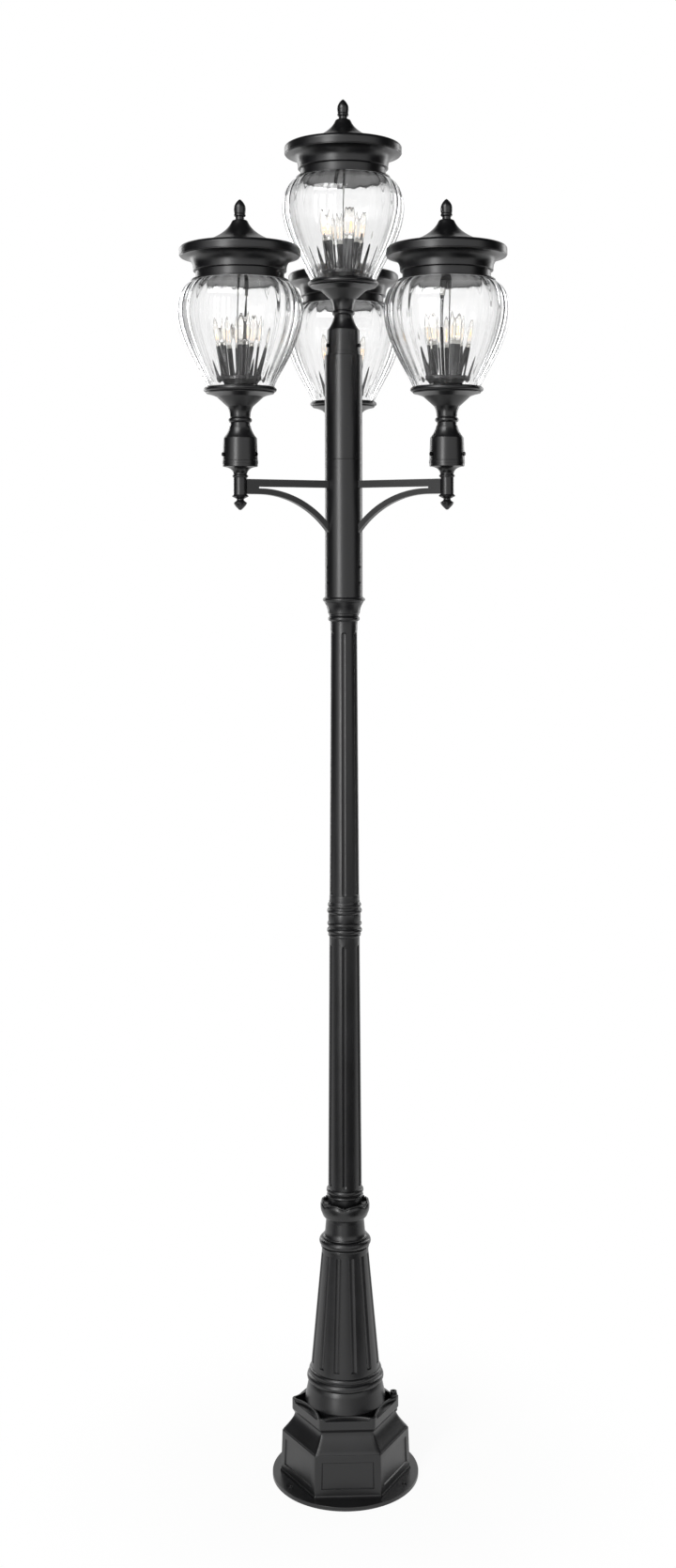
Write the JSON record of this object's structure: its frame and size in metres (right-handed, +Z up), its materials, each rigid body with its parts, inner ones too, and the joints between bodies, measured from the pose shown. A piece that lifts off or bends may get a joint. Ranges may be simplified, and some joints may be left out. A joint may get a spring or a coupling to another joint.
{
  "type": "outdoor post light",
  "caption": "Outdoor post light: a fluted cast post on a six-sided base, with one glass lantern on top and others on arms around it.",
  "frame": {"origin": "the post's axis at the underside of the base plate", "axes": "+Z up along the post; the picture is taken from -Y; one arm points to +Y and two point forward to the left and right"},
  "size_m": [0.7983, 0.732, 3.3983],
  "materials": {
    "powder_coat": "satin black powder coat on cast and spun metal",
    "ribbed_glass": "clear ribbed blown glass",
    "bulb_glass": "clear glass flame bulb",
    "bright_steel": "bright zinc plate",
    "wire": "insulated copper wires in a sheath"
  },
  "bodies": {
    "post": {"base_plate": "powder_coat", "hex_base": "powder_coat", "pedestal": "powder_coat", "petal_collar": "powder_coat", "lower_shaft": "powder_coat", "mid_ring": "powder_coat", "upper_shaft": "powder_coat", "top_collar": "powder_coat", "head_tube": "powder_coat", "top_tube": "powder_coat", "left_arm": "powder_coat", "right_arm": "powder_coat", "back_arm": "powder_coat", "drop_finials": "powder_coat", "post_screws": "bright_steel", "supply_wires": "wire"},
    "top_lantern": {"top_fitter": "powder_coat", "top_set_screws": "bright_steel", "top_dish": "powder_coat", "top_cluster": "powder_coat", "top_candles": "powder_coat", "top_sockets": "bright_steel", "top_bulbs": "bulb_glass", "top_rod": "powder_coat", "top_glass": "ribbed_glass"},
    "top_lid": {"top_cap": "powder_coat"},
    "top_nut": {"top_finial": "powder_coat"},
    "left_lantern": {"left_fitter": "powder_coat", "left_set_screws": "bright_steel", "left_dish": "powder_coat", "left_cluster": "powder_coat", "left_candles": "powder_coat", "left_sockets": "bright_steel", "left_bulbs": "bulb_glass", "left_rod": "powder_coat", "left_glass": "ribbed_glass"},
    "left_lid": {"left_cap": "powder_coat"},
    "left_nut": {"left_finial": "powder_coat"},
    "right_lantern": {"right_fitter": "powder_coat", "right_set_screws": "bright_steel", "right_dish": "powder_coat", "right_cluster": "powder_coat", "right_candles": "powder_coat", "right_sockets": "bright_steel", "right_bulbs": "bulb_glass", "right_rod": "powder_coat", "right_glass": "ribbed_glass"},
    "right_lid": {"right_cap": "powder_coat"},
    "right_nut": {"right_finial": "powder_coat"},
    "back_lantern": {"back_fitter": "powder_coat", "back_set_screws": "bright_steel", "back_dish": "powder_coat", "back_cluster": "powder_coat", "back_candles": "powder_coat", "back_sockets": "bright_steel", "back_bulbs": "bulb_glass", "back_rod": "powder_coat", "back_glass": "ribbed_glass"},
    "back_lid": {"back_cap": "powder_coat"},
    "back_nut": {"back_finial": "powder_coat"}
  },
  "joints": [
    {"name": "top_swivel", "type": "hinge", "parent": "post", "child": "top_lantern", "pos_m": [0, 0, 2.765], "axis": [0, 0, 1], "range_deg": [-170, 170]},
    {"name": "top_cap_lift", "type": "slide", "parent": "top_lantern", "child": "top_lid", "axis": [0, 0, 1], "range_m": [0, 0.04]},
    {"name": "top_finial_turn", "type": "hinge", "parent": "top_lid", "child": "top_nut", "pos_m": [0, 0, 3.3493], "axis": [0, 0, 1], "continuous": true},
    {"name": "left_swivel", "type": "hinge", "parent": "post", "child": "left_lantern", "pos_m": [-0.24768, -0.143, 2.49], "axis": [0, 0, 1], "range_deg": [-170, 170]},
    {"name": "left_cap_lift", "type": "slide", "parent": "left_lantern", "child": "left_lid", "axis": [0, 0, 1], "range_m": [0, 0.04]},
    {"name": "left_finial_turn", "type": "hinge", "parent": "left_lid", "child": "left_nut", "pos_m": [-0.24768, -0.143, 3.0743], "axis": [0, 0, 1], "continuous": true},
    {"name": "right_swivel", "type": "hinge", "parent": "post", "child": "right_lantern", "pos_m": [0.24768, -0.143, 2.49], "axis": [0, 0, 1], "range_deg": [-170, 170]},
    {"name": "right_cap_lift", "type": "slide", "parent": "right_lantern", "child": "right_lid", "axis": [0, 0, 1], "range_m": [0, 0.04]},
    {"name": "right_finial_turn", "type": "hinge", "parent": "right_lid", "child": "right_nut", "pos_m": [0.24768, -0.143, 3.0743], "axis": [0, 0, 1], "continuous": true},
    {"name": "back_swivel", "type": "hinge", "parent": "post", "child": "back_lantern", "pos_m": [0, 0.286, 2.49], "axis": [0, 0, 1], "range_deg": [-170, 170]},
    {"name": "back_cap_lift", "type": "slide", "parent": "back_lantern", "child": "back_lid", "axis": [0, 0, 1], "range_m": [0, 0.04]},
    {"name": "back_finial_turn", "type": "hinge", "parent": "back_lid", "child": "back_nut", "pos_m": [0, 0.286, 3.0743], "axis": [0, 0, 1], "continuous": true}
  ]
}
